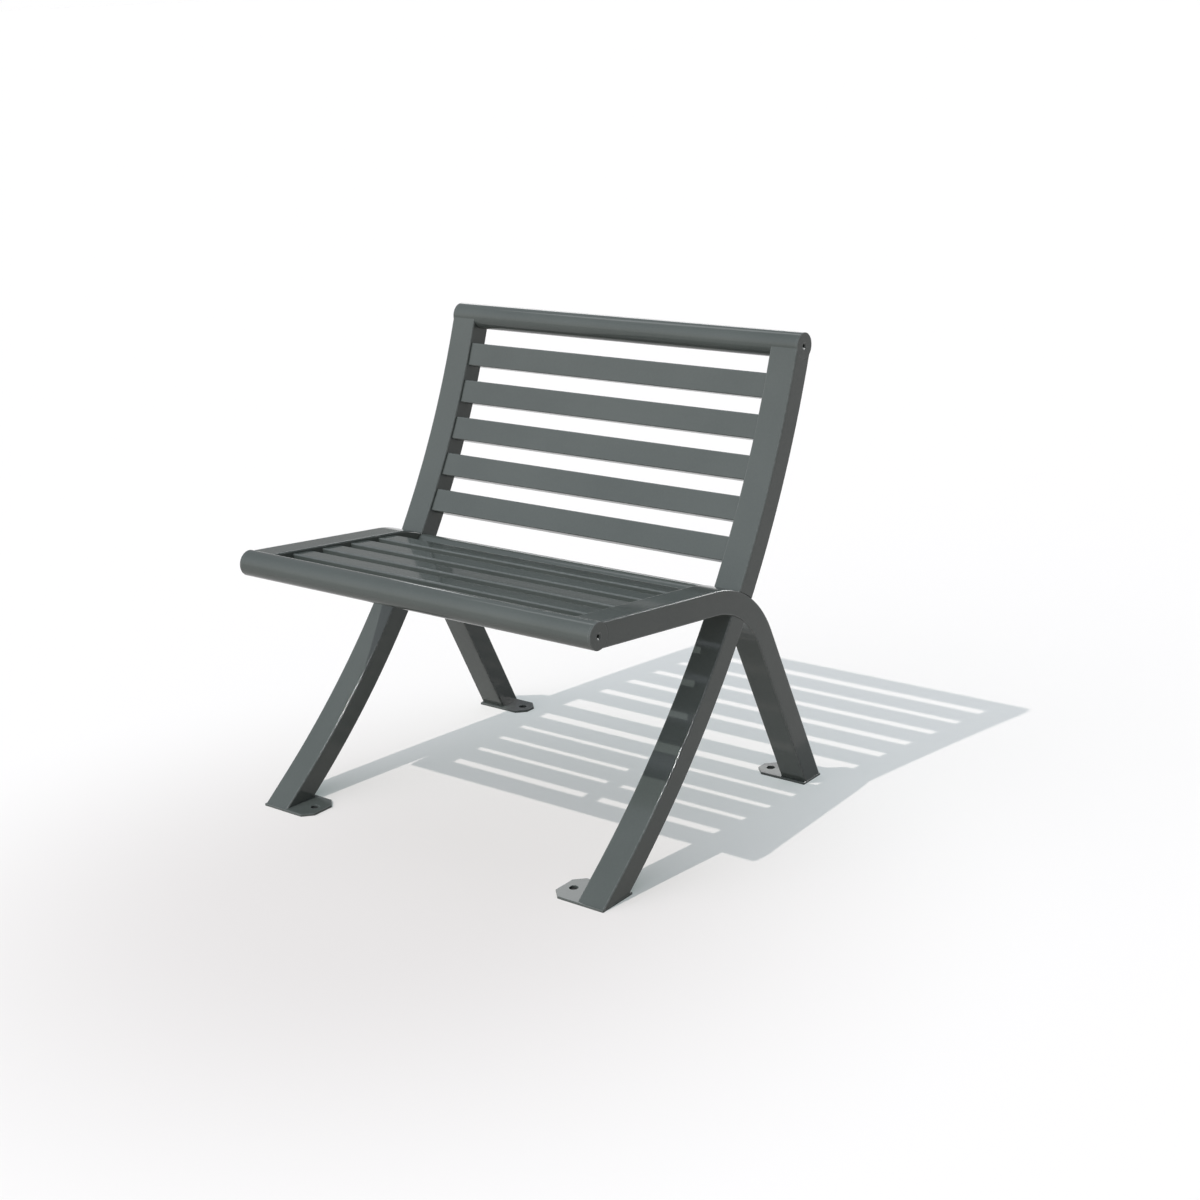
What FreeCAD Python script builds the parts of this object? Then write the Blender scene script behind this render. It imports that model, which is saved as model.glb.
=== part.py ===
"""Street chair of welded steel tube, bolted to the ground through four foot plates.

Each side is one bent rail, seat rail in front and rear leg behind, with a back stile and a front
leg on one long curve that meet the rail at its bend. Round tubes run across the front, the
top and the bend, and flat tube slats fill the seat and the back.

The chair faces -Y and stands on Z = 0, with the origin under the middle of its outline. Lengths
are millimetres and angles are degrees.
"""

import FreeCAD
import Part
import Sketcher

import math
import os
from collections import namedtuple

DIMENSIONS = {
    "overall_width": 720,
    "overall_depth": 604,
    # Round tubes and their end caps
    "tube_diameter": 42.4,
    "tube_wall": 2.6,
    "front_tube_height": 422.5,
    "top_tube_height": 740,
    "rear_tube_turn": 23.1,
    "cap_thickness": 3,
    "cap_bevel": 0.6,
    "vent_diameter": 5,
    "vent_bevel": 1.5,
    # Rectangular tube of rails, stiles and front legs
    "section_width": 50,
    "section_depth": 40,
    "section_wall": 2.5,
    "section_corner": 3,
    # Rail: a straight run that falls to the rear, a bend, and the rear leg
    "seat_fall": 6.8,
    "rail_straight": 295,
    "bend_radius": 167,
    "rear_leg_slope": 64.9,
    # Curve of the stiles, which the front legs carry on: its centre is ahead of the front tube and
    # above the floor, and the tubes' ends run straight
    "sweep_radius": 1534,
    "sweep_ahead": 904.5,
    "sweep_height": 1231.8,
    "joint_slope": 34.4,
    "straight_end": 30,
    "leg_radius": 1520,
    "leg_turn": 16.6,
    "foot_run": 100,
    # Slats of seat and back
    "slat_width": 40,
    "slat_thickness": 20,
    "slat_wall": 2,
    "slat_corner": 2.5,
    "slat_recess": 4.5,
    "first_slat": 68.7,
    "slat_pitch": 66.2,
    # Flat bar under the seat slats
    "brace_width": 30,
    "brace_thickness": 6,
    # Foot plates
    "plate_length": 102,
    "plate_thickness": 4,
    "plate_corner": 16,
    "plate_bevel": 0.5,
    "front_plate_depth": 72,
    "front_plate_setback": 15.3,
    "rear_plate_depth": 51,
    "bolt_hole": 14,
    "bolt_setback": 83,
}

SEAT_SLATS = 4
BACK_SLATS = 5
SIDES = {"right": 1, "left": -1}

ALONG_X = FreeCAD.Vector(1, 0, 0)
AGAINST_X = FreeCAD.Vector(-1, 0, 0)
ALONG_Y = FreeCAD.Vector(0, 1, 0)
ALONG_Z = FreeCAD.Vector(0, 0, 1)

# Places in the chair's own frame, as expressions in the sheet's terms
CLEAR_SPAN = "(dims.overall_width - 2 * dims.section_width)"
SIDE_X = "(dims.overall_width - dims.section_width) / 2"
FRONT_Y = "(dims.tube_diameter - dims.overall_depth) / 2"
SWEEP_Y = f"({FRONT_Y} - dims.sweep_ahead)"
TOP_DROP = "(dims.sweep_height - dims.top_tube_height)"
TOP_Y = f"{SWEEP_Y} + sqrt(dims.sweep_radius ^ 2 - {TOP_DROP} ^ 2)"
TOP_SLOPE = f"asin({TOP_DROP} / dims.sweep_radius)"
END_TURN = "dims.straight_end / dims.sweep_radius * 180 deg / pi"
BEND_Y = (
    f"({FRONT_Y} + dims.rail_straight * cos(dims.seat_fall)"
    " - dims.bend_radius * sin(dims.seat_fall))"
)
BEND_Z = (
    "(dims.front_tube_height - dims.rail_straight * sin(dims.seat_fall)"
    " - dims.bend_radius * cos(dims.seat_fall))"
)
REAR_TUBE_Y = f"{BEND_Y} + dims.bend_radius * sin(dims.seat_fall + dims.rear_tube_turn)"
REAR_TUBE_Z = f"{BEND_Z} + dims.bend_radius * cos(dims.seat_fall + dims.rear_tube_turn)"

# Centre line of a bent tube, as expressions: straight lead, bend radius, turn and straight tail
Bend = namedtuple("Bend", ("lead", "radius", "turn", "tail"))

DOC = FreeCAD.newDocument("street_chair")


def make_sheet():
    """Write the driving dimensions into a sheet, one named cell each."""
    sheet = DOC.addObject("Spreadsheet::Sheet", "dims")
    for row, (alias, size) in enumerate(DIMENSIONS.items(), start=1):
        sheet.set(f"A{row}", alias)
        sheet.set(f"B{row}", str(size))
        sheet.setAlias(f"B{row}", alias)
    DOC.recompute()
    return sheet


SHEET = make_sheet()


def number(expression):
    """Return what an expression in the sheet's terms comes to."""
    result = SHEET.evalExpression(expression)
    return float(getattr(result, "Value", result))


def place(item, x="0", y="0", z="0", axis=None, angle="0"):
    """Bind an object's place, and its turn about an axis, to expressions."""
    if axis is not None:
        item.Placement = FreeCAD.Placement(FreeCAD.Vector(), FreeCAD.Rotation(axis, number(angle)))
        item.setExpression("Placement.Rotation.Angle", angle)
    item.setExpression("Placement.Base.x", x)
    item.setExpression("Placement.Base.y", y)
    item.setExpression("Placement.Base.z", z)


def new_body(label):
    """Start an empty body under a label."""
    body = DOC.addObject("PartDesign::Body", label)
    body.Label = label
    return body


def origin_feature(body, role):
    """Return one of a body's own origin planes or axes."""
    return next(item for item in body.Origin.OriginFeatures if item.Role == role)


def new_sketch(body, role):
    """Attach an empty sketch to one of the body's origin planes."""
    sketch = body.newObject("Sketcher::SketchObject", f"{body.Name}_sketch")
    sketch.AttachmentSupport = (origin_feature(body, role), [""])
    sketch.MapMode = "FlatFace"
    return sketch


def bind(sketch, kind, *where, to):
    """Add a dimension to a sketch and bind it to an expression."""
    index = sketch.addConstraint(Sketcher.Constraint(kind, *where, number(to)))
    sketch.setExpression(f"Constraints[{index}]", to)


def point(x, y):
    """Return a point of a sketch's plane."""
    return FreeCAD.Vector(x, y, 0)


def circle(sketch, radius, x="0", y="0"):
    """Draw a circle whose centre lies at or ahead of the sketch's origin."""
    centre = point(number(x), number(y))
    index = sketch.addGeometry(Part.Circle(centre, ALONG_Z, number(radius)))
    bind(sketch, "Radius", index, to=radius)
    bind(sketch, "DistanceX", -1, 1, index, 3, to=x)
    bind(sketch, "DistanceY", -1, 1, index, 3, to=y)


def rounded_rectangle(sketch, width, depth, corner):
    """Draw a rectangle with round corners about the sketch's origin."""
    half_x = number(width) / 2
    half_y = number(depth) / 2
    radius = number(corner)
    flat_x = half_x - radius
    flat_y = half_y - radius
    sides = [
        Part.LineSegment(point(-flat_x, -half_y), point(flat_x, -half_y)),
        Part.LineSegment(point(half_x, -flat_y), point(half_x, flat_y)),
        Part.LineSegment(point(flat_x, half_y), point(-flat_x, half_y)),
        Part.LineSegment(point(-half_x, flat_y), point(-half_x, -flat_y)),
    ]
    centres = [(flat_x, -flat_y), (flat_x, flat_y), (-flat_x, flat_y), (-flat_x, -flat_y)]
    corners = []
    for quarter, centre in enumerate(centres):
        start = (quarter - 1) * math.pi / 2
        whole = Part.Circle(point(*centre), ALONG_Z, radius)
        corners.append(Part.ArcOfCircle(whole, start, start + math.pi / 2))
    lines = sketch.addGeometry(sides)
    arcs = sketch.addGeometry(corners)
    for quarter in range(4):
        sketch.addConstraint(Sketcher.Constraint("Tangent", lines[quarter], 2, arcs[quarter], 1))
        following = lines[(quarter + 1) % 4]
        sketch.addConstraint(Sketcher.Constraint("Tangent", arcs[quarter], 2, following, 1))
    for line in (lines[0], lines[2]):
        sketch.addConstraint(Sketcher.Constraint("Horizontal", line))
    for line in (lines[1], lines[3]):
        sketch.addConstraint(Sketcher.Constraint("Vertical", line))
    for arc in arcs[1:]:
        sketch.addConstraint(Sketcher.Constraint("Equal", arcs[0], arc))
    sketch.addConstraint(Sketcher.Constraint("Symmetric", arcs[0], 3, arcs[2], 3, -1, 1))
    bind(sketch, "Radius", arcs[0], to=corner)
    bind(sketch, "DistanceX", lines[3], 1, lines[1], 1, to=width)
    bind(sketch, "DistanceY", lines[0], 1, lines[2], 1, to=depth)


def hollow_section(sketch, width, depth, corner, wall):
    """Draw the section of a rectangular tube about the sketch's origin."""
    rounded_rectangle(sketch, width, depth, corner)
    rounded_rectangle(sketch, f"{width} - 2 * {wall}", f"{depth} - 2 * {wall}", f"{corner} - {wall}")


def pad(body, sketch, length, side="Symmetric"):
    """Raise a sketch to a length, half to each side or all to one."""
    feature = body.newObject("PartDesign::Pad", f"{body.Name}_pad")
    feature.Profile = sketch
    feature.SideType = side
    feature.setExpression("Length", length)
    DOC.recompute()
    return feature


def pocket(body, sketch, length):
    """Cut a sketch out of a body, half the length to each side of its plane."""
    before = body.Shape.Volume
    feature = body.newObject("PartDesign::Pocket", f"{body.Name}_pocket")
    feature.Profile = sketch
    feature.SideType = "Symmetric"
    feature.setExpression("Length", length)
    DOC.recompute()
    if body.Shape.Volume >= before:
        raise RuntimeError(f"{body.Label}: the pocket cuts nothing")
    return feature


def chamfer(body, feature, size, test):
    """Bevel those edges of a body's last feature that pass a test."""
    edges = [f"Edge{i}" for i, edge in enumerate(feature.Shape.Edges, start=1) if test(edge)]
    bevel = body.newObject("PartDesign::Chamfer", f"{body.Name}_chamfer")
    bevel.Base = (feature, edges)
    bevel.setExpression("Size", size)
    DOC.recompute()
    return bevel


def cut(label, base, tools):
    """Cut a piece to fit the joined outlines of its neighbours."""
    tool = tools[0]
    if len(tools) > 1:
        tool = DOC.addObject("Part::MultiFuse", f"{label}_neighbours")
        tool.Shapes = tools
    result = DOC.addObject("Part::Cut", label)
    result.Label = label
    result.Base = base
    result.Tool = tool
    result.Refine = True
    return result


def tube_outline(name, y, z):
    """Make the solid outline of a round tube, which its neighbours are cut to."""
    outline = DOC.addObject("Part::Cylinder", name)
    outline.setExpression("Radius", "dims.tube_diameter / 2")
    outline.setExpression("Height", "dims.overall_width")
    place(outline, "-dims.overall_width / 2", y, z, ALONG_Y, "90")
    return outline


def bend_outline():
    """Make the outline of the rails' bend, right across the chair and open below."""
    outer = DOC.addObject("Part::Cylinder", "bend_outside")
    outer.setExpression("Radius", "dims.bend_radius + dims.section_depth / 2")
    outer.Angle = 180
    inner = DOC.addObject("Part::Cylinder", "bend_inside")
    inner.setExpression("Radius", "dims.bend_radius - dims.section_depth / 2")
    for cylinder in (outer, inner):
        cylinder.setExpression("Height", "dims.overall_width")
        place(cylinder, "-dims.overall_width / 2", BEND_Y, BEND_Z, ALONG_Y, "90")
    return cut("bend_outline", outer, [inner])


def floor_outline():
    """Make a block up to the top of the foot plates, which the legs are cut to."""
    block = DOC.addObject("Part::Box", "floor_outline")
    block.setExpression("Length", "dims.overall_width")
    block.setExpression("Width", "2 * dims.overall_depth")
    block.setExpression("Height", "dims.front_tube_height")
    top = "dims.plate_thickness - dims.front_tube_height"
    place(block, "-dims.overall_width / 2", "-dims.overall_depth", top)
    return block


def bent_path(body, bend):
    """Draw a tube's centre line: straight along Y to the body's origin, round the bend and straight on."""
    sketch = new_sketch(body, "YZ_Plane")
    lead = number(bend.lead)
    radius = number(bend.radius)
    angle = math.radians(number(bend.turn))
    centre = point(0, -radius)
    bend_end = centre + point(math.sin(angle), math.cos(angle)) * radius
    tail_end = bend_end + point(math.cos(angle), -math.sin(angle)) * number(bend.tail)
    whole = Part.Circle(centre, ALONG_Z, radius)
    before, arc, after = sketch.addGeometry(
        [
            Part.LineSegment(point(-lead, 0), point(0, 0)),
            Part.ArcOfCircle(whole, math.pi / 2 - angle, math.pi / 2),
            Part.LineSegment(bend_end, tail_end),
        ]
    )
    sketch.addConstraint(Sketcher.Constraint("Coincident", before, 2, -1, 1))
    sketch.addConstraint(Sketcher.Constraint("Horizontal", before))
    sketch.addConstraint(Sketcher.Constraint("Tangent", before, 2, arc, 2))
    sketch.addConstraint(Sketcher.Constraint("Tangent", arc, 1, after, 1))
    bind(sketch, "DistanceX", before, 1, before, 2, to=bend.lead)
    bind(sketch, "Radius", arc, to=bend.radius)
    bind(sketch, "DistanceX", arc, 3, arc, 1, to=f"{bend.radius} * sin({bend.turn})")
    bind(sketch, "Distance", after, to=bend.tail)
    return sketch


def bent_tube(label, side, bend, y, z, slope):
    """Bend a rectangular tube that points down by a slope where its bend starts."""
    body = new_body(label)
    path = bent_path(body, bend)
    section = new_sketch(body, "XZ_Plane")
    section.setExpression("AttachmentOffset.Base.z", bend.lead)
    hollow_section(section, *(f"dims.section_{size}" for size in ("width", "depth", "corner", "wall")))
    pipe = body.newObject("PartDesign::AdditivePipe", f"{label}_pipe")
    pipe.Profile = section
    pipe.Spine = (path, [])
    place(body, f"{SIDES[side]} * {SIDE_X}", y, z, AGAINST_X, slope)
    return body


def swept_tube(label, side, bend, slope):
    """Bend a tube that starts downward from a slope of the stiles' curve."""
    y = f"{SWEEP_Y} + dims.sweep_radius * cos({slope})"
    z = f"dims.sweep_height - dims.sweep_radius * sin({slope})"
    return bent_tube(label, side, bend, y, z, f"90 deg + {slope}")


def side_rail(side, front_tube, floor):
    """Make a seat rail and rear leg from one tube, cut to the front tube and the foot plate."""
    turn = "(dims.rear_leg_slope - dims.seat_fall)"
    bend = Bend("dims.rail_straight", "dims.bend_radius", turn, "dims.front_tube_height")
    y = f"{FRONT_Y} + dims.rail_straight * cos(dims.seat_fall)"
    z = "dims.front_tube_height - dims.rail_straight * sin(dims.seat_fall)"
    body = bent_tube(f"rail_tube_{side}", side, bend, y, z, "dims.seat_fall")
    return cut(f"side_rail_{side}", body, [front_tube, floor])


def back_stile(side, outline, top_tube):
    """Make a back stile, cut to the top tube above and the rail's bend below."""
    slope = f"({TOP_SLOPE} + {END_TURN})"
    turn = f"(dims.joint_slope * 1 deg - {END_TURN} - {slope})"
    bend = Bend("dims.straight_end", "dims.sweep_radius", turn, "dims.straight_end")
    body = swept_tube(f"stile_tube_{side}", side, bend, slope)
    return cut(f"back_stile_{side}", body, [outline, top_tube])


def front_leg(side, outline, floor):
    """Make a front leg, cut to the rail's bend above and the foot plate below."""
    slope = f"(dims.joint_slope * 1 deg + {END_TURN})"
    bend = Bend("dims.straight_end", "dims.leg_radius", "dims.leg_turn", "dims.foot_run")
    body = swept_tube(f"leg_tube_{side}", side, bend, slope)
    return cut(f"front_leg_{side}", body, [outline, floor])


def round_tube(label, length, y, z):
    """Make a round tube across the chair."""
    body = new_body(label)
    section = new_sketch(body, "YZ_Plane")
    circle(section, "dims.tube_diameter / 2")
    circle(section, "dims.tube_diameter / 2 - dims.tube_wall")
    pad(body, section, length)
    place(body, "0", y, z)
    return body


def end_cap(label, side, y, z):
    """Close a tube's end with a disc, flush with the side of the chair, with a small vent hole."""
    body = new_body(label)
    disc = new_sketch(body, "YZ_Plane")
    circle(disc, "dims.tube_diameter / 2")
    pad(body, disc, "dims.cap_thickness", "One side")
    vent = new_sketch(body, "YZ_Plane")
    circle(vent, "dims.vent_diameter / 2")
    drilled = pocket(body, vent, "4 * dims.cap_thickness")
    face = number("dims.cap_thickness")
    middle = (number("dims.tube_diameter") + number("dims.vent_diameter")) / 4

    def outer_rim(edge):
        box = edge.BoundBox
        return box.XMin > face / 2 and box.YMax > middle

    def vent_rim(edge):
        box = edge.BoundBox
        return box.XMin > face / 2 and box.YMax < middle

    rim = chamfer(body, drilled, "dims.cap_bevel", outer_rim)
    chamfer(body, rim, "dims.vent_bevel", vent_rim)
    inner_x = f"{SIDES[side]} * (dims.overall_width / 2 - dims.cap_thickness)"
    place(body, inner_x, y, z, ALONG_Z, "0" if side == "right" else "180")
    return body


def slat(label, y, z, axis, tilt):
    """Make a slat from flat rectangular tube between the two sides."""
    body = new_body(label)
    section = new_sketch(body, "YZ_Plane")
    sizes = ("width", "thickness", "corner", "wall")
    hollow_section(section, *(f"dims.slat_{size}" for size in sizes))
    pad(body, section, CLEAR_SPAN)
    place(body, "0", y, z, axis, tilt)
    return body


def seat_slat(index):
    """Make one slat of the seat, counted from the front."""
    along = f"(dims.first_slat + {index} * dims.slat_pitch)"
    lift = "(dims.section_depth / 2 - dims.slat_recess - dims.slat_thickness / 2)"
    y = f"{FRONT_Y} + {along} * cos(dims.seat_fall) + {lift} * sin(dims.seat_fall)"
    z = f"dims.front_tube_height - {along} * sin(dims.seat_fall) + {lift} * cos(dims.seat_fall)"
    return slat(f"seat_slat_{index + 1}", y, z, AGAINST_X, "dims.seat_fall")


def back_slat(index):
    """Make one slat of the back, counted from the top."""
    front_radius = "(dims.sweep_radius - dims.section_depth / 2)"
    along = f"(dims.first_slat + {index} * dims.slat_pitch)"
    slope = f"({TOP_SLOPE} + {along} / {front_radius} * 180 deg / pi)"
    radius = f"({front_radius} + dims.slat_recess + dims.slat_thickness / 2)"
    y = f"{SWEEP_Y} + {radius} * cos({slope})"
    z = f"dims.sweep_height - {radius} * sin({slope})"
    return slat(f"back_slat_{index + 1}", y, z, ALONG_X, f"90 deg - {slope}")


def seat_brace(front_tube, rear_tube):
    """Make the flat bar under the seat slats, cut to the tubes that it joins."""
    bar = DOC.addObject("Part::Box", "brace_bar")
    bar.setExpression("Length", "dims.brace_width")
    bar.setExpression("Width", "dims.rail_straight + dims.bend_radius * sin(dims.rear_tube_turn)")
    bar.setExpression("Height", "dims.brace_thickness")
    drop = "(dims.slat_recess + dims.slat_thickness + dims.brace_thickness - dims.section_depth / 2)"
    y = f"{FRONT_Y} - {drop} * sin(dims.seat_fall)"
    z = f"dims.front_tube_height - {drop} * cos(dims.seat_fall)"
    place(bar, "-dims.brace_width / 2", y, z, AGAINST_X, "dims.seat_fall")
    return cut("seat_brace", bar, [front_tube, rear_tube])


def foot_plate(end, side, depth, y):
    """Make a floor plate that reaches inward from under a leg, with its bolt hole."""
    body = new_body(f"foot_plate_{end}_{side}")
    outline = new_sketch(body, "XY_Plane")
    length = number("dims.plate_length")
    half = number(depth) / 2
    corners = [point(0, -half), point(length, -half), point(length, half), point(0, half)]
    lines = outline.addGeometry(
        [Part.LineSegment(start, corners[(i + 1) % 4]) for i, start in enumerate(corners)]
    )
    for i, line in enumerate(lines):
        outline.addConstraint(Sketcher.Constraint("Coincident", line, 2, lines[(i + 1) % 4], 1))
        outline.addConstraint(Sketcher.Constraint("Vertical" if i % 2 else "Horizontal", line))
    outline.addConstraint(Sketcher.Constraint("Symmetric", lines[0], 1, lines[3], 1, -1, 1))
    bind(outline, "DistanceX", lines[0], 1, lines[0], 2, to="dims.plate_length")
    bind(outline, "DistanceY", lines[1], 1, lines[1], 2, to=depth)
    raised = pad(body, outline, "dims.plate_thickness", "One side")

    def inner_corner(edge):
        box = edge.BoundBox
        return box.XMin > length / 2 and box.ZLength > box.YLength

    def top_edge(edge):
        return edge.BoundBox.ZMin > number("dims.plate_thickness") / 2

    cropped = chamfer(body, raised, "dims.plate_corner", inner_corner)
    chamfer(body, cropped, "dims.plate_bevel", top_edge)
    hole = new_sketch(body, "XY_Plane")
    circle(hole, "dims.bolt_hole / 2", "dims.bolt_setback")
    pocket(body, hole, "4 * dims.plate_thickness")
    outer_x = f"{SIDES[side]} * dims.overall_width / 2"
    place(body, outer_x, y, "0", ALONG_Z, "180" if side == "right" else "0")
    return body


def build_chair():
    """Build every piece of the chair and return them."""
    front_tube = tube_outline("front_tube_outline", FRONT_Y, "dims.front_tube_height")
    top_tube = tube_outline("top_tube_outline", TOP_Y, "dims.top_tube_height")
    rear_tube = tube_outline("rear_tube_outline", REAR_TUBE_Y, REAR_TUBE_Z)
    bend = bend_outline()
    floor = floor_outline()
    open_length = "dims.overall_width - 2 * dims.cap_thickness"
    front_plate_y = f"{FRONT_Y} + dims.front_plate_setback"
    rear_plate_y = "(dims.overall_depth - dims.rear_plate_depth) / 2"
    pieces = [
        round_tube("front_tube", open_length, FRONT_Y, "dims.front_tube_height"),
        round_tube("top_tube", open_length, TOP_Y, "dims.top_tube_height"),
        round_tube("rear_cross_tube", CLEAR_SPAN, REAR_TUBE_Y, REAR_TUBE_Z),
        seat_brace(front_tube, rear_tube),
    ]
    pieces += [seat_slat(index) for index in range(SEAT_SLATS)]
    pieces += [back_slat(index) for index in range(BACK_SLATS)]
    for side in SIDES:
        pieces += [
            side_rail(side, front_tube, floor),
            back_stile(side, bend, top_tube),
            front_leg(side, bend, floor),
            end_cap(f"front_tube_cap_{side}", side, FRONT_Y, "dims.front_tube_height"),
            end_cap(f"top_tube_cap_{side}", side, TOP_Y, "dims.top_tube_height"),
            foot_plate("front", side, "dims.front_plate_depth", front_plate_y),
            foot_plate("rear", side, "dims.rear_plate_depth", rear_plate_y),
        ]
    DOC.recompute()
    return pieces


def check(pieces):
    """Stop if any object failed or any piece is not one sound solid."""
    for item in DOC.Objects:
        if {"Invalid", "Error"} & set(item.State):
            raise RuntimeError(f"{item.Label}: {item.State}")
    for piece in pieces:
        shape = piece.Shape
        if shape.isNull() or not shape.isValid() or len(shape.Solids) != 1:
            raise RuntimeError(f"{piece.Label}: not one sound solid")


def export(pieces):
    """Write each piece to a file under its label."""
    os.makedirs("parts", exist_ok=True)
    for piece in pieces:
        piece.Shape.exportStep(f"parts/{piece.Label}.step")
        box = piece.Shape.BoundBox
        print(f"{piece.Label}: {box.XLength:.1f} x {box.YLength:.1f} x {box.ZLength:.1f} mm")


CHAIR = build_chair()
check(CHAIR)
export(CHAIR)
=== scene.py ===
"""Looks of a street chair of welded, powder-coated steel tube.

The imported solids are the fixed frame. Each piece here has the size and the place of the solid that
it stands for, with round corners, coped tube ends and one powder coat over everything.

Lengths are metres and angles are degrees. The chair faces -Y and stands on Z = 0.
"""

import logging
import math
from dataclasses import dataclass
from enum import Enum
from typing import Any, Optional, Sequence, Union

import bmesh
import bpy
from mathutils import Matrix, Vector


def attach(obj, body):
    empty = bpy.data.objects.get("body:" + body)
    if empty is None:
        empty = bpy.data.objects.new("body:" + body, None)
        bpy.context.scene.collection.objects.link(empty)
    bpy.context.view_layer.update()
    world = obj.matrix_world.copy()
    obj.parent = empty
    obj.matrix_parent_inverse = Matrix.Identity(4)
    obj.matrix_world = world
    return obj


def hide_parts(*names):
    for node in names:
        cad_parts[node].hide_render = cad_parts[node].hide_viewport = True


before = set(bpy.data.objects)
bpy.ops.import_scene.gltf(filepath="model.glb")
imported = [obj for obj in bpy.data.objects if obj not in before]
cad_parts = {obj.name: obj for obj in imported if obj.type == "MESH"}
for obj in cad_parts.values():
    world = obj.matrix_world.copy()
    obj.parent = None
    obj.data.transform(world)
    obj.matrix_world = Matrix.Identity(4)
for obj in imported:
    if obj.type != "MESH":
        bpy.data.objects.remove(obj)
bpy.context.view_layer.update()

LOG = logging.getLogger("street_chair")
EDGE = "edge"
RING = "ring"
# A face with more corners than this is the end of a tube.
QUAD_CORNERS = 4
# Faces that meet at more than this angle shade sharp.
SHARP_ANGLE = 20.0
# Keeps a whole number from being rounded down to the one below.
NUDGE = 0.001
# Lies between two indices, so that a test tells them apart.
HALF_STEP = 0.5
# How much shorter a 45-degree crop gets for each unit of inset.
CROP_LOSS = 2 - math.sqrt(2)

Number = Union["Value", float]
Colour = tuple[float, float, float]


class Side(Enum):
    """Side of the chair, as seen from in front of it."""

    RIGHT = 1
    LEFT = -1

    @property
    def word(self) -> str:
        """Return the side's word in node names."""
        return self.name.lower()


class Crossing(Enum):
    """Which of the two points is meant where a line crosses a round surface."""

    FIRST = -1
    SECOND = 1


class Value:
    """A number in a node tree, whose arithmetic adds Math nodes."""

    def __init__(self, graph: "Graph", socket: bpy.types.NodeSocket) -> None:
        """Wrap an output socket of a graph."""
        self.graph = graph
        self.socket = socket

    def _math(self, operation: str, *terms: Number) -> "Value":
        """Add one Math node.

        Args:
            operation: What the node works out.
            terms: Its values, in order.

        Returns:
            The result.
        """
        sockets = dict(enumerate(terms))
        return self.graph.value("ShaderNodeMath", {"operation": operation}, sockets)

    def __add__(self, other: Number) -> "Value":
        """Add a number."""
        return self._math("ADD", self, other)

    __radd__ = __add__

    def __sub__(self, other: Number) -> "Value":
        """Take a number away."""
        return self._math("SUBTRACT", self, other)

    def __rsub__(self, other: Number) -> "Value":
        """Take this away from a number."""
        return self._math("SUBTRACT", other, self)

    def __mul__(self, other: Number) -> "Value":
        """Multiply by a number."""
        return self._math("MULTIPLY", self, other)

    __rmul__ = __mul__

    def __truediv__(self, other: Number) -> "Value":
        """Divide by a number."""
        return self._math("DIVIDE", self, other)

    def __rtruediv__(self, other: Number) -> "Value":
        """Divide a number by this."""
        return self._math("DIVIDE", other, self)

    def __pow__(self, other: Number) -> "Value":
        """Raise to a power."""
        return self._math("POWER", self, other)

    def __neg__(self) -> "Value":
        """Turn the sign round."""
        return self * -1.0

    def __lt__(self, other: Number) -> "Value":
        """Return 1 where this is less, and 0 elsewhere."""
        return self._math("LESS_THAN", self, other)

    def __gt__(self, other: Number) -> "Value":
        """Return 1 where this is more, and 0 elsewhere."""
        return self._math("GREATER_THAN", self, other)

    def sin(self) -> "Value":
        """Return the sine of an angle in radians."""
        return self._math("SINE", self)

    def cos(self) -> "Value":
        """Return the cosine of an angle in radians."""
        return self._math("COSINE", self)

    def root(self) -> "Value":
        """Return the square root."""
        return self._math("SQRT", self)

    def floor(self) -> "Value":
        """Round down."""
        return self._math("FLOOR", self)

    def clamp(self, low: float = 0.0, high: float = 1.0) -> "Value":
        """Hold between two numbers."""
        return self._math("MINIMUM", self._math("MAXIMUM", self, low), high)

    def step(self, low: float, high: float) -> "Value":
        """Return a smooth 0 to 1 between two numbers."""
        sockets = {"Value": self, "From Min": low, "From Max": high}
        return self.graph.value(
            "ShaderNodeMapRange", {"interpolation_type": "SMOOTHSTEP"}, sockets
        )


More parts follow.
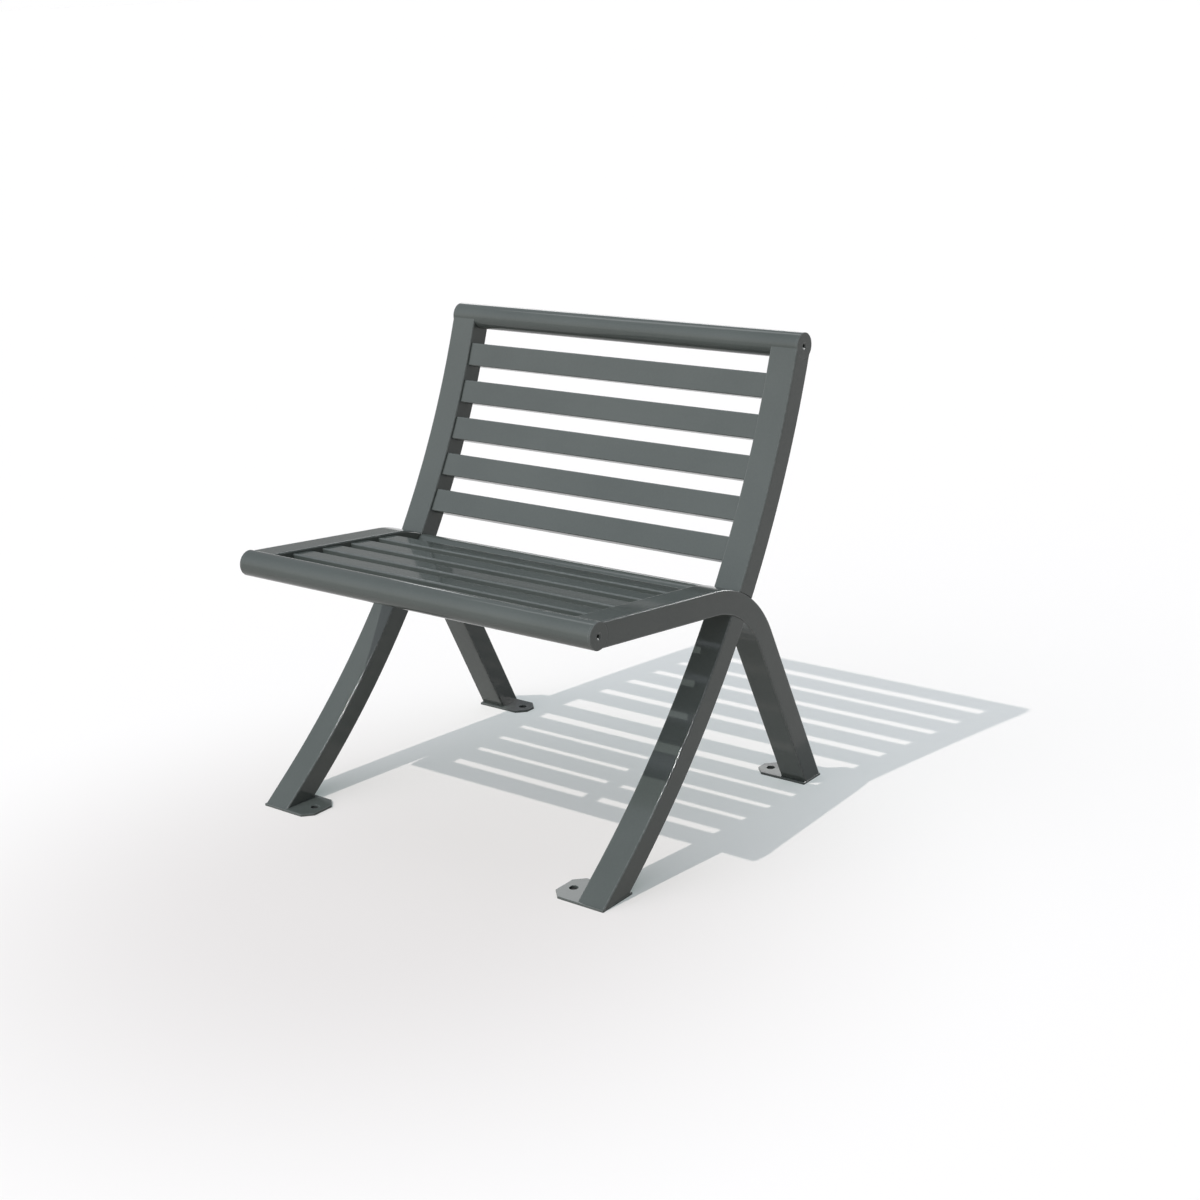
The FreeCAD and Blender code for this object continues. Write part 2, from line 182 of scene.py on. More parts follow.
class Graph:
    """A node tree that is written as expressions."""

    def __init__(self, tree: bpy.types.NodeTree) -> None:
        """Take over a tree, which is emptied."""
        self.tree = tree
        tree.nodes.clear()

    def add(
        self,
        kind: str,
        settings: Optional[dict[str, Any]] = None,
        sockets: Optional[dict[Union[str, int], Any]] = None,
    ) -> bpy.types.Node:
        """Add one node.

        Args:
            kind: The node's type.
            settings: Its properties, which are set first.
            sockets: Values or links of its inputs, by name or number.

        Returns:
            The node.
        """
        node = self.tree.nodes.new(kind)
        for name, setting in (settings or {}).items():
            setattr(node, name, setting)
        for key, item in (sockets or {}).items():
            if isinstance(key, int):
                target = node.inputs[key]
            else:
                target = next(s for s in node.inputs if s.name == key and s.enabled)
            source = item.socket if isinstance(item, Value) else item
            if isinstance(source, bpy.types.NodeSocket):
                self.tree.links.new(source, target)
            else:
                target.default_value = source
        return node

    def out(self, *details: Any, output: Union[str, int] = 0) -> bpy.types.NodeSocket:
        """Add a node and return one of its outputs."""
        return self.add(*details).outputs[output]

    def value(self, *details: Any, output: Union[str, int] = 0) -> Value:
        """Add a node and return one of its outputs as a number."""
        return Value(self, self.out(*details, output=output))

    def vector(self, x: Number, y: Number, z: Number) -> bpy.types.NodeSocket:
        """Join three numbers to a vector."""
        return self.out("ShaderNodeCombineXYZ", None, {0: x, 1: y, 2: z})

    def parts(self, vector: bpy.types.NodeSocket) -> tuple[Value, Value, Value]:
        """Split a vector into its three numbers."""
        split = self.add("ShaderNodeSeparateXYZ", None, {0: vector})
        return tuple(Value(self, socket) for socket in split.outputs)

    def blend(
        self, factor: Number, first: Any, second: Any, mode: str = "MIX"
    ) -> bpy.types.NodeSocket:
        """Mix two colours.

        Args:
            factor: Share of the second colour.
            first: Colour or link.
            second: Colour or link.
            mode: How they are mixed.

        Returns:
            The mixed colour.
        """
        settings = {"data_type": "RGBA", "blend_type": mode}
        mix = self.add("ShaderNodeMix", settings, {"Factor": factor, "A": first, "B": second})
        return next(s for s in mix.outputs if s.enabled)

    def shown(self) -> Value:
        """Tell the rays that show a background: straight, in metal and through glass.

        Returns:
            1 for such a ray, and 0 for any other.
        """
        path = self.add("ShaderNodeLightPath")
        rays = ("Is Camera Ray", "Is Glossy Ray", "Is Transmission Ray")
        straight, mirrored, passed = (Value(self, path.outputs[name]) for name in rays)
        return (straight + mirrored + passed).clamp()

    def noise(self, place: Any, size: float, detail: float = 2.0, seed: float = 0.0) -> Value:
        """Add a noise.

        Args:
            place: Coordinates.
            size: Length of its coarsest grain.
            detail: Octaves.
            seed: Which of many such noises.

        Returns:
            The noise, about 0.5 on average.
        """
        sockets = {"Vector": place, "W": seed, "Scale": 1.0 / size, "Detail": detail}
        return self.value("ShaderNodeTexNoise", {"noise_dimensions": "4D"}, sockets)


class Recipe:
    """A geometry tree with named inputs, which is run once and leaves a plain mesh."""

    def __init__(self, name: str) -> None:
        """Start an empty tree.

        Args:
            name: The tree's name.
        """
        self.tree = bpy.data.node_groups.new(name, "GeometryNodeTree")
        self.graph = Graph(self.tree)
        self.sizes: dict[str, Any] = {}
        self.group = self.graph.add("NodeGroupInput")

    def input(self, name: str, size: Any, kind: str = "NodeSocketFloat") -> Value:
        """Declare a named input.

        Args:
            name: What it measures.
            size: Its value.
            kind: Type of its socket.

        Returns:
            The input.
        """
        socket = self.tree.interface.new_socket(name, in_out="INPUT", socket_type=kind)
        self.sizes[socket.identifier] = size
        found = next(s for s in self.group.outputs if s.identifier == socket.identifier)
        return Value(self.graph, found)

    def inputs(self, sizes: dict[str, float]) -> dict[str, Value]:
        """Declare several lengths or angles by name."""
        return {name: self.input(name, size) for name, size in sizes.items()}

    def run(self, geometry: bpy.types.NodeSocket) -> bpy.types.Mesh:
        """Close the tree, run it and take its mesh.

        Args:
            geometry: What the tree makes.

        Returns:
            The mesh.
        """
        graph = self.graph
        real = graph.out("GeometryNodeRealizeInstances", None, {0: geometry})
        smooth = graph.out("GeometryNodeSetShadeSmooth", None, {0: real})
        self.tree.interface.new_socket("piece", in_out="OUTPUT", socket_type="NodeSocketGeometry")
        graph.add("NodeGroupOutput", None, {0: smooth})
        maker = bpy.data.objects.new(self.tree.name, bpy.data.meshes.new(self.tree.name))
        bpy.context.scene.collection.objects.link(maker)
        modifier = maker.modifiers.new("recipe", "NODES")
        modifier.node_group = self.tree
        for identifier, size in self.sizes.items():
            modifier[identifier] = size
        bpy.context.view_layer.update()
        evaluated = maker.evaluated_get(bpy.context.evaluated_depsgraph_get())
        mesh = bpy.data.meshes.new_from_object(evaluated)
        maker.modifiers.clear()
        bpy.data.objects.remove(maker)
        return mesh


def add_piece(
    name: str, mesh: bpy.types.Mesh, coat: bpy.types.Material, nodes: Sequence[str]
) -> None:
    """Put a finished mesh into the chair, with sharp ends that are fanned from their middles.

    Args:
        name: The piece's name.
        mesh: Its mesh, already in place.
        coat: Its material.
        nodes: The solids that it stands for.
    """
    build = bmesh.new()
    build.from_mesh(mesh)
    ends = [face for face in build.faces if len(face.verts) > QUAD_CORNERS]
    for edge in {edge for face in ends for edge in face.edges}:
        edge.smooth = False
    bmesh.ops.poke(build, faces=ends)
    if build.calc_volume(signed=True) < 0:
        bmesh.ops.reverse_faces(build, faces=build.faces)
    build.to_mesh(mesh)
    build.free()
    mesh.name = name
    mesh.materials.clear()
    mesh.materials.append(coat)
    piece = bpy.data.objects.new(name, mesh)
    bpy.context.scene.collection.objects.link(piece)
    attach(piece, "root")
    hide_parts(*nodes)
    LOG.info("%s: %d faces, for %s", name, len(mesh.polygons), ", ".join(nodes))


@dataclass(frozen=True)
class PowderCoat:
    """Smooth polyester powder coat on steel, thinner and paler along the edges; the paler edges are
    partly wear, partly a painted highlight.
    """

    name: str = "powder_coat_iron_grey"
    dark: Colour = (0.068, 0.0785, 0.072)
    light: Colour = (0.083, 0.0945, 0.0865)
    # Paler edge colour: partly worn, thin coat, partly a painted highlight along the edges.
    edge: Colour = (0.165, 0.180, 0.172)
    roughness: float = 0.10
    roughness_spread: float = 0.05
    peel_size: float = 0.004
    peel_depth: float = 0.000006
    sheen: float = 0.25
    cloud_size: float = 0.16
    cloud_share: float = 0.75
    speck_size: float = 0.0035
    tone_reach: tuple[float, float] = (0.25, 0.75)
    handled_size: float = 0.035
    chip_size: float = 0.005
    chip_reach: tuple[float, float] = (0.4, 0.7)
    # Share of the paler edge colour on every edge: wear plus a painted highlight.
    wear: float = 0.22
    chip_wear: float = 0.25
    wear_roughness: float = 0.1

    def material(self) -> bpy.types.Material:
        """Build the node material.

        Returns:
            The material.
        """
        material = bpy.data.materials.new(self.name)
        material.use_nodes = True
        graph = Graph(material.node_tree)
        place = graph.out("ShaderNodeTexCoord", output="Object")
        cloud = graph.noise(place, self.cloud_size, detail=4.0, seed=1.7)
        speck = graph.noise(place, self.speck_size, detail=2.0, seed=5.1)
        handled = graph.noise(place, self.handled_size, detail=3.0, seed=8.3)
        chip = graph.noise(place, self.chip_size, detail=3.0, seed=6.4)
        edge = graph.value("ShaderNodeAttribute", {"attribute_name": EDGE}, output="Fac")
        mottle = cloud * self.cloud_share + speck * (1.0 - self.cloud_share)
        tone = mottle.step(*self.tone_reach)
        body = graph.blend(tone, (*self.dark, 1.0), (*self.light, 1.0))
        # The marked edges are painted paler: worn coat with random chips, and a painted highlight
        # along every edge.
        worn_and_highlit = edge * (self.wear + self.chip_wear * chip.step(*self.chip_reach))
        colour = graph.blend(worn_and_highlit, body, (*self.edge, 1.0))
        handling = (handled - 0.5) * self.roughness_spread
        rough = self.roughness + handling + worn_and_highlit * self.wear_roughness
        peel = graph.noise(place, self.peel_size, detail=1.5, seed=3.9)
        bump = graph.out(
            "ShaderNodeBump", None, {"Strength": 1.0, "Distance": self.peel_depth, "Height": peel}
        )
        shader = graph.add(
            "ShaderNodeBsdfPrincipled",
            None,
            {
                "Base Color": colour,
                "Roughness": rough,
                "Normal": bump,
                "Specular IOR Level": self.sheen,
            },
        )
        graph.add("ShaderNodeOutputMaterial", None, {"Surface": shader.outputs[0]})
        return material


@dataclass(frozen=True)
class Section:
    """Cross-section of a rectangular tube."""

    width: float
    depth: float
    corner: float
    steps: int = 6
    flats: int = 12
    margin: float = 0.0004

    def curve(self, recipe: Recipe) -> bpy.types.NodeSocket:
        """Draw the section as a closed curve.

        Each corner is an arc. Points along the flats let a coped end follow a round surface, and
        the outer two of them, close to the corners, make the flats shade flat.

        Args:
            recipe: The tree to draw it in.

        Returns:
            The curve, with its corners marked in the edge attribute, which the coat paints paler as
            wear and as a painted highlight.
        """
        graph = recipe.graph
        size = recipe.inputs(
            {
                "section width": self.width,
                "section depth": self.depth,
                "section corner": self.corner,
            }
        )
        corner = size["section corner"]
        wide = size["section width"] - 2.0 * corner
        deep = size["section depth"] - 2.0 * corner
        points = self.steps + 1 + self.flats
        line = graph.out("GeometryNodeMeshLine", None, {"Count": 4 * points})
        index = graph.value("GeometryNodeInputIndex")
        quarter = (index / points + NUDGE).floor()
        within = index - quarter * points
        share = (within / self.steps).clamp()
        angle = (quarter + share) * (math.pi / 2)
        middle = (quarter + 0.5) * (math.pi / 2)
        upright = quarter - 2.0 * (quarter / 2.0 + NUDGE).floor()
        flat = wide + (deep - wide) * upright
        passed = ((within - self.steps - 1.0) / (self.flats - 1)).clamp()
        on_flat = within > self.steps + HALF_STEP
        run = on_flat * (self.margin + passed * (flat - 2.0 * self.margin))
        x = wide * middle.cos() * math.sqrt(0.5) + corner * angle.cos() - run * angle.sin()
        y = deep * middle.sin() * math.sqrt(0.5) + corner * angle.sin() + run * angle.cos()
        sockets = {"Geometry": line, "Position": graph.vector(x, y, 0.0)}
        drawn = graph.out("GeometryNodeSetPosition", None, sockets)
        marked = graph.out(
            "GeometryNodeStoreNamedAttribute",
            None,
            {"Geometry": drawn, "Name": EDGE, "Value": ((share * math.pi).sin() * 2.0).clamp()},
        )
        curve = graph.out("GeometryNodeMeshToCurve", None, {0: marked})
        return graph.out("GeometryNodeSetSplineCyclic", None, {"Geometry": curve, "Cyclic": True})

    def sweep(self, recipe: Recipe, path: bpy.types.NodeSocket) -> bpy.types.NodeSocket:
        """Sweep the section along a curve.

        Args:
            recipe: The tree to work in.
            path: The curve.

        Returns:
            The tube, closed at both ends.
        """
        graph = recipe.graph
        level = graph.out("GeometryNodeSetCurveNormal", {"mode": "Z_UP"}, {0: path})
        sockets = {"Curve": level, "Profile Curve": self.curve(recipe), "Fill Caps": True}
        return graph.out("GeometryNodeCurveToMesh", None, sockets)


@dataclass(frozen=True)
class RoundCut:
    """End of a tube that is coped to a round surface across the chair."""

    y: float
    z: float
    radius: float
    crossing: Crossing

    def reach(self, recipe: Recipe, end: str, y: Value, z: Value, heading: Value) -> Value:
        """Work out how far a point moves along the tube to meet the surface.

        Args:
            recipe: The tree to work in.
            end: Word for this end of the tube.
            y: The point's place.
            z: The point's place.
            heading: The tube's downward slope there, in radians.

        Returns:
            The distance along the heading.
        """
        size = recipe.inputs(
            {f"{end} cut y": self.y, f"{end} cut z": self.z, f"{end} cut radius": self.radius}
        )
        off_y = y - size[f"{end} cut y"]
        off_z = z - size[f"{end} cut z"]
        along = off_y * heading.cos() - off_z * heading.sin()
        square = along * along - off_y * off_y - off_z * off_z + size[f"{end} cut radius"] ** 2.0
        return square.root() * float(self.crossing.value) - along


@dataclass(frozen=True)
class LevelCut:
    """End of a tube that is cut level, at a height."""

    height: float

    def reach(self, recipe: Recipe, end: str, y: Value, z: Value, heading: Value) -> Value:
        """Return how far a point moves along the tube to meet the level."""
        return (z - recipe.input(f"{end} cut height", self.height)) / heading.sin()


Cut = Union[RoundCut, LevelCut]


@dataclass
class BentTube:
    """A rectangular tube with one bend, coped or cut level at its two ends.

    Its centre line points rearward and down by a slope, runs straight for the lead, turns further
    down round the bend and runs straight again for the tail. The bend starts at y, z.
    """

    name: str
    section: Section
    y: float
    z: float
    slope: float
    lead: float
    radius: float
    turn: float
    tail: float
    start: Cut
    finish: Cut
    steps: int = 40

    def mesh(self, x: float) -> bpy.types.Mesh:
        """Sweep the section along the centre line and fit its two ends.

        Args:
            x: Place of the tube across the chair.

        Returns:
            The mesh, in place.
        """
        recipe = Recipe(self.name)
        graph = recipe.graph
        size = recipe.inputs(
            {
                "across": x,
                "bend y": self.y,
                "bend z": self.z,
                "slope": math.radians(self.slope),
                "lead": self.lead,
                "bend radius": self.radius,
                "turn": math.radians(self.turn),
                "tail": self.tail,
            }
        )
        last = self.steps + 2
        line = graph.out("GeometryNodeMeshLine", None, {"Count": last + 1})
        index = graph.value("GeometryNodeInputIndex")
        slope = size["slope"]
        heading = slope + ((index - 1.0) / self.steps).clamp() * size["turn"]
        radius = size["bend radius"]
        run = (index > last - HALF_STEP) * size["tail"] - (index < HALF_STEP) * size["lead"]
        y = size["bend y"] + radius * (heading.sin() - slope.sin()) + run * heading.cos()
        z = size["bend z"] + radius * (heading.cos() - slope.cos()) - run * heading.sin()
        bent = graph.out(
            "GeometryNodeSetPosition",
            None,
            {"Geometry": line, "Position": graph.vector(size["across"], y, z)},
        )
        sockets = {"Geometry": bent, "Name": RING, "Value": index}
        numbered = graph.out("GeometryNodeStoreNamedAttribute", None, sockets)
        path = graph.out("GeometryNodeMeshToCurve", None, {0: numbered})
        swept = self.section.sweep(recipe, path)
        settings = {"data_type": "FLOAT"}
        ring = graph.value("GeometryNodeInputNamedAttribute", settings, {"Name": RING})
        begun = self._fit(recipe, swept, "start", self.start, ring < HALF_STEP, slope)
        ending = ring > last - HALF_STEP
        end_slope = slope + size["turn"]
        fitted = self._fit(recipe, begun, "finish", self.finish, ending, end_slope)
        mesh = recipe.run(fitted)
        mesh.attributes.remove(mesh.attributes[RING])
        return mesh

    def _fit(
        self,
        recipe: Recipe,
        tube: bpy.types.NodeSocket,
        end: str,
        cut: Cut,
        chosen: Value,
        heading: Value,
    ) -> bpy.types.NodeSocket:
        """Move one end's outline along the tube until it lies on what the tube meets.

        Args:
            recipe: The tree to work in.
            tube: The swept tube.
            end: Word for this end.
            cut: The surface that it meets.
            chosen: Marks the end's points.
            heading: The tube's slope at this end.

        Returns:
            The fitted tube.
        """
        graph = recipe.graph
        _, y, z = graph.parts(graph.out("GeometryNodeInputPosition"))
        reach = cut.reach(recipe, end, y, z, heading)
        shift = graph.vector(0.0, reach * heading.cos(), -(reach * heading.sin()))
        sockets = {"Geometry": tube, "Selection": chosen, "Offset": shift}
        return graph.out("GeometryNodeSetPosition", None, sockets)


def mark_edges(build: bmesh.types.BMesh, points: Sequence[bmesh.types.BMVert]) -> None:
    """Mark points as lying on an edge, where the coat is thin and is painted paler, partly as wear
    and partly as a painted highlight.

    Args:
        build: The shape.
        points: Points of it.
    """
    layer = build.verts.layers.float.get(EDGE) or build.verts.layers.float.new(EDGE)
    for point in points:
        point[layer] = 1.0


def bridge(
    build: bmesh.types.BMesh,
    ring: Sequence[bmesh.types.BMVert],
    following: Sequence[bmesh.types.BMVert],
) -> None:
    """Join two rings with as many points by a band of faces.

    Args:
        build: The shape.
        ring: Points of one ring.
        following: Points of the other, in the same order.
    """
    for i, point in enumerate(ring):
        j = (i + 1) % len(ring)
        build.faces.new((point, ring[j], following[j], following[i]))


def finish_mesh(name: str, build: bmesh.types.BMesh) -> bpy.types.Mesh:
    """Turn a built shape into a mesh.

    Args:
        name: The mesh's name.
        build: The shape, which is freed.

    Returns:
        The mesh, shaded smooth with sharp rims.
    """
    bmesh.ops.recalc_face_normals(build, faces=build.faces)
    mesh = bpy.data.meshes.new(name)
    build.to_mesh(mesh)
    build.free()
    mesh.shade_smooth()
    mesh.set_sharp_from_angle(angle=math.radians(SHARP_ANGLE))
    return mesh


def lathe(outline: Sequence[tuple[float, float, bool]], steps: int = 96) -> bpy.types.Mesh:
    """Turn a closed outline about the X axis.

    Args:
        outline: Points along the axis and out from it, and whether each is on a rim, which the coat
            paints paler as wear and as a painted highlight.
        steps: Facets of a full turn.

    Returns:
        The mesh.
    """
    build = bmesh.new()
    build.verts.layers.float.new(EDGE)
    turns = [2 * math.pi * (i + 0.5) / steps for i in range(steps)]
    rings = []
    for x, radius, rim in outline:
        ring = [build.verts.new((x, radius * math.cos(a), radius * math.sin(a))) for a in turns]
        if rim:
            mark_edges(build, ring)
        rings.append(ring)
    for ring, following in zip(rings, rings[1:] + rings[:1]):
        bridge(build, ring, following)
    return finish_mesh("lathe", build)


@dataclass
class RoundTube:
    """A round tube across the chair, with or without end caps."""

    name: str
    y: float
    z: float
    length: float
    diameter: float = 0.0424
    wall: float = 0.0026
    burr: float = 0.0003
    cap: float = 0.003
    rim: float = 0.0006
    vent: float = 0.005
    sink: float = 0.0028
    sink_depth: float = 0.0012
    rub: float = 0.002

    def build(self, coat: bpy.types.Material, caps: bool) -> None:
        """Make the tube and, if asked, the two discs that close it.

        Args:
            coat: Their material.
            caps: Whether it has end caps.
        """
        outer = self.diameter / 2
        inner = outer - self.wall
        half = self.length / 2
        # Rims marked True are painted paler, as wear and as a painted highlight.
        end = [
            (half, inner, False),
            (half, outer - self.burr, True),
            (half - self.burr, outer, True),
            (half - self.burr - self.rub, outer, False),
        ]
        tube = [(-x, radius, rim) for x, radius, rim in end] + end[::-1]
        self._place(self.name, lathe(tube), coat, Matrix.Identity(3))
        if not caps:
            return
        hole = self.vent / 2
        face = half + self.cap
        disc = [
            # The marked rims, among them the ring round the vent, are painted paler, as wear and as
            # a painted highlight.
            (half, hole, False),
            (half, outer - self.burr, False),
            (half + self.burr, outer, False),
            (face - self.rim, outer, True),
            (face, outer - self.rim, True),
            (face, outer - self.rim - self.rub, False),
            (face, hole + self.sink + self.rub, False),
            (face, hole + self.sink, True),
            (face - self.sink_depth, hole + self.burr, False),
            (face - self.sink_depth - self.burr, hole, False),
        ]
        for side in Side:
            turn = Matrix.Rotation(0.0 if side is Side.RIGHT else math.pi, 3, "Z")
            self._place(f"{self.name}_cap_{side.word}", lathe(disc), coat, turn)

    def _place(
        self, name: str, mesh: bpy.types.Mesh, coat: bpy.types.Material, turn: Matrix
    ) -> None:
        """Move a turned mesh to the tube's axis and add it.

        Args:
            name: The piece's name, which is its solid's too.
            mesh: The mesh about the X axis.
            coat: Its material.
            turn: How it is turned first.
        """
        mesh.transform(Matrix.Translation((0.0, self.y, self.z)) @ turn.to_4x4())
        add_piece(f"coated_{name}", mesh, coat, [name])


@dataclass
class SlatRow:
    """A row of flat tubes between the two sides."""

    name: str
    solids: str
    count: int
    first: float
    pitch: float
    span: float
    section: Section = Section(width=0.040, depth=0.020, corner=0.0025)

    def spot(self, recipe: Recipe, along: Value) -> tuple[Value, Value, Value]:
        """Find a slat's place from its distance along the row.

        Args:
            recipe: The tree to work in.
            along: The distance.

        Returns:
            Its Y, its Z and its turn about X.
        """
        raise NotImplementedError

    def build(self, coat: bpy.types.Material) -> None:
        """Repeat one slat along the row.

        Args:
            coat: Material of the slats.
        """
        recipe = Recipe(self.name)
        graph = recipe.graph
        size = recipe.inputs({"first": self.first, "pitch": self.pitch, "span": self.span})
        half = size["span"] / 2
        ends = {"Start": graph.vector(-half, 0.0, 0.0), "End": graph.vector(half, 0.0, 0.0)}
        line = graph.out("GeometryNodeCurvePrimitiveLine", None, ends)
        slat = self.section.sweep(recipe, line)
        number = recipe.input("slats", self.count, "NodeSocketInt")
        points = graph.out("GeometryNodeMeshLine", None, {"Count": number})
        along = size["first"] + graph.value("GeometryNodeInputIndex") * size["pitch"]
        y, z, turn = self.spot(recipe, along)
        sockets = {"Geometry": points, "Position": graph.vector(0.0, y, z)}
        spots = graph.out("GeometryNodeSetPosition", None, sockets)
        slats = graph.out(
            "GeometryNodeInstanceOnPoints",
            None,
            {
                "Points": spots,
                "Instance": slat,
                "Rotation": graph.out(
                    "FunctionNodeEulerToRotation", None, {0: graph.vector(turn, 0.0, 0.0)}
                ),
            },
        )
        nodes = [f"{self.solids}_{i + 1}" for i in range(self.count)]
        add_piece(self.name, recipe.run(slats), coat, nodes)


@dataclass
class SeatRow(SlatRow):
    """Slats along the straight run of the rails."""

    y: float = 0.0
    z: float = 0.0
    fall: float = 0.0
    lift: float = 0.0

    def spot(self, recipe: Recipe, along: Value) -> tuple[Value, Value, Value]:
        """Find a slat's place on the falling line of the rails.

        Args:
            recipe: The tree to work in.
            along: Distance from the front tube's axis.

        Returns:
            Its Y, its Z and its turn about X.
        """
        size = recipe.inputs(
            {
                "line y": self.y,
                "line z": self.z,
                "fall": math.radians(self.fall),
                "lift": self.lift,
            }
        )
        fall = size["fall"]
        y = size["line y"] + along * fall.cos() + size["lift"] * fall.sin()
        z = size["line z"] - along * fall.sin() + size["lift"] * fall.cos()
        return y, z, -fall


@dataclass
class BackRow(SlatRow):
    """Slats along the curve of the stiles."""

    y: float = 0.0
    z: float = 0.0
    radius: float = 0.0
    front_radius: float = 0.0
    top_slope: float = 0.0

    def spot(self, recipe: Recipe, along: Value) -> tuple[Value, Value, Value]:
        """Find a slat's place on the curve.

        Args:
            recipe: The tree to work in.
            along: Distance down the stiles' front faces from the top tube's axis.

        Returns:
            Its Y, its Z and its turn about X.
        """
        size = recipe.inputs(
            {
                "centre y": self.y,
                "centre z": self.z,
                "radius": self.radius,
                "front radius": self.front_radius,
                "top slope": math.radians(self.top_slope),
            }
        )
        slope = size["top slope"] + along / size["front radius"]
        y = size["centre y"] + size["radius"] * slope.cos()
        z = size["centre z"] - size["radius"] * slope.sin()
        return y, z, math.pi / 2 - slope


@dataclass
class FootPlate:
    """A floor plate with two cropped corners and a hole for its anchor bolt."""

    end: str
    y: float
    depth: float
    length: float = 0.102
    thickness: float = 0.004
    crop: float = 0.016
    bevel: float = 0.0005
    rub: float = 0.002
    hole: float = 0.014
    hole_setback: float = 0.083
    outer: float = 0.360

    def outline(self, inset: float) -> list[Vector]:
        """Draw the plate's outline from its outer edge inward.

        Args:
            inset: How far inside the true outline.

        Returns:
            Its corners, in the plate's own frame.
        """
        half = self.depth / 2 - inset
        far = self.length - inset
        slant = self.crop - inset * CROP_LOSS
        return [
            Vector((inset, -half, 0)),
            Vector((far - slant, -half, 0)),
            Vector((far, slant - half, 0)),
            Vector((far, half - slant, 0)),
            Vector((far - slant, half, 0)),
            Vector((inset, half, 0)),
        ]

    def mesh(self) -> bpy.types.Mesh:
        """Make the plate lying on the floor, with its outer edge on the Y axis.

        Returns:
            The mesh.
        """
        build = bmesh.new()
        build.verts.layers.float.new(EDGE)
        top = self.thickness
        levels = [
            (0.0, 0.0),
            (0.0, top - self.bevel),
            (self.bevel, top),
            (self.bevel + self.rub, top),
        ]
        walls, bores = [], []
        for inset, height in levels:
            walls.append(self._loop(build, self.outline(inset), height))
            bores.append(self._loop(build, self._circle(self.hole / 2 + inset), height))
        for rings in (walls, bores):
            for ring, following in zip(rings, rings[1:]):
                bridge(build, ring, following)
            # The bevelled rims are marked to be painted paler, as wear and as a painted highlight.
            mark_edges(build, rings[1] + rings[2])
        for level in (0, len(levels) - 1):
            rims = []
            for ring in (walls[level], bores[level]):
                rims += [build.edges.get(pair) for pair in zip(ring, ring[1:] + ring[:1])]
            bmesh.ops.triangle_fill(build, edges=rims, use_beauty=True)
        return finish_mesh("foot_plate", build)

    def _circle(self, radius: float, steps: int = 48) -> list[Vector]:
        """Draw the bolt hole's outline."""
        turns = [2 * math.pi * i / steps for i in range(steps)]
        return [
            Vector((self.hole_setback + radius * math.cos(a), radius * math.sin(a), 0))
            for a in turns
        ]

    @staticmethod
    def _loop(build: bmesh.types.BMesh, points: list[Vector], height: float) -> list:
        """Add an outline at a height."""
        return [build.verts.new((point.x, point.y, height)) for point in points]

    def build(self, side: Side, coat: bpy.types.Material) -> None:
        """Add the plate at one side.

        Args:
            side: Which side of the chair.
            coat: Its material.
        """
        mesh = self.mesh()
        turn = Matrix.Rotation(math.pi if side is Side.RIGHT else 0.0, 4, "Z")
        mesh.transform(Matrix.Translation((side.value * self.outer, self.y, 0.0)) @ turn)
        name = f"foot_plate_{self.end}_{side.word}"
        add_piece(f"coated_{name}", mesh, coat, [name])


@dataclass
class SeatBrace:
    """A flat bar under the middle of the seat slats, between the front tube and the rear one."""

    y: float
    z: float
    fall: float
    drop: float
    rear_y: float
    rear_z: float
    tube: float = 0.0212
    width: float = 0.030
    thickness: float = 0.006
    corner: float = 0.0008

    def build(self, coat: bpy.types.Material) -> None:
        """Make the bar, with its ends fitted to the two tubes.

        Args:
            coat: Its material.
        """
        fall = math.radians(self.fall)
        ahead = Vector((0.0, math.cos(fall), -math.sin(fall)))
        up = Vector((0.0, math.sin(fall), math.cos(fall)))
        build = bmesh.new()
        rings = []
        for centre, way in (((self.y, self.z), 1), ((self.rear_y, self.rear_z), -1)):
            ring = []
            for across, height in self._outline():
                base = Vector((across, self.y, self.z)) + up * (height - self.drop)
                offset = Vector((0.0, base.y - centre[0], base.z - centre[1]))
                along = offset.dot(ahead)
                inside = self.tube**2 - offset.length_squared + along**2
                ring.append(build.verts.new(base + ahead * (way * math.sqrt(inside) - along)))
            rings.append(ring)
        bridge(build, *rings)
        for ring in rings:
            build.faces.new(ring)
        add_piece("coated_seat_brace", finish_mesh("brace", build), coat, ["seat_brace"])

    def _outline(self) -> list[tuple[float, float]]:
        """Draw the bar's section with small bevels.

        Returns:
            Its corners, across and up.
        """
        half = self.width / 2
        low, high, cut = 0.0, self.thickness, self.corner
        return [
            (-half + cut, low),
            (half - cut, low),
            (half, low + cut),
            (half, high - cut),
            (half - cut, high),
            (-half + cut, high),
            (-half, high - cut),
            (-half, low + cut),
        ]


